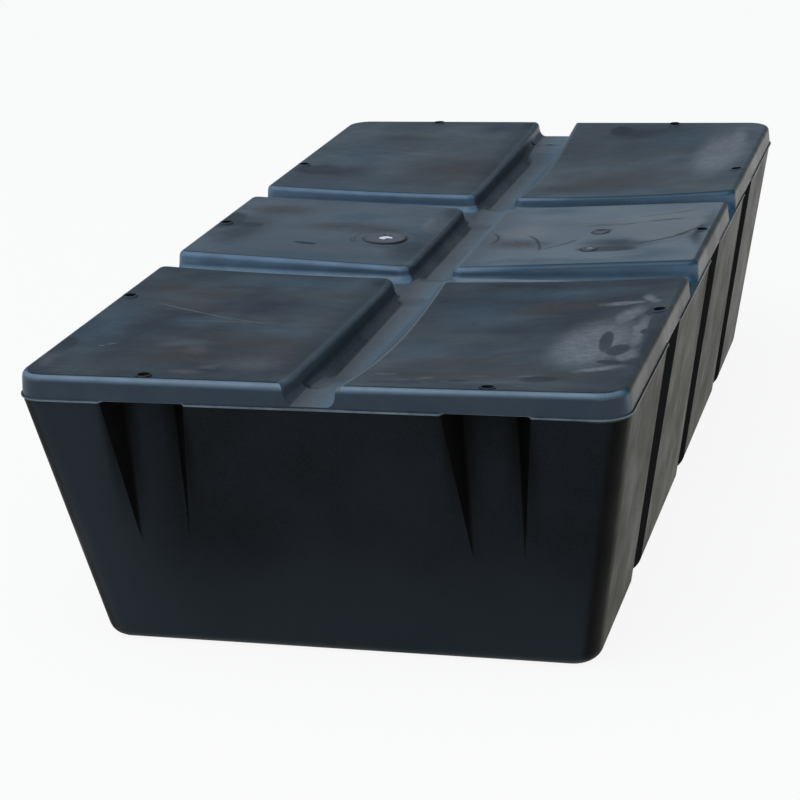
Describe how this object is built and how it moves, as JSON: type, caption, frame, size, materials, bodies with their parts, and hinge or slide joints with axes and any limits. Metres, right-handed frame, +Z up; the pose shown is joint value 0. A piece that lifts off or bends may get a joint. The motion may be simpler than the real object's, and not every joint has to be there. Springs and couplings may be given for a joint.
{
  "type": "dock float drum",
  "caption": "Rectangular foam-filled dock float with raised pads parted by channels, tapered fluted walls, bolt holes round the deck and welded plugs.",
  "frame": {"origin": "under the middle of the float, on the surface that it stands on", "axes": "+Y along the length, from the end that faces the camera to the far end; +Z up through the deck; +X to the right in the picture"},
  "size_m": [0.6096, 1.2192, 0.3048],
  "materials": {
    "black_polyethylene": "black rotationally moulded polyethylene, satin, scuffed and dusty on the deck",
    "white_foam": "white expanded polystyrene beads",
    "fill_plug_plastic": "dull brown-grey polyethylene",
    "vent_plug_plastic": "black polyethylene"
  },
  "bodies": {
    "root": {"shell": "black_polyethylene", "foam_core": "white_foam", "fill_plug": "fill_plug_plastic", "vent_plug_front": "vent_plug_plastic", "vent_plug_back": "vent_plug_plastic"}
  },
  "joints": []
}
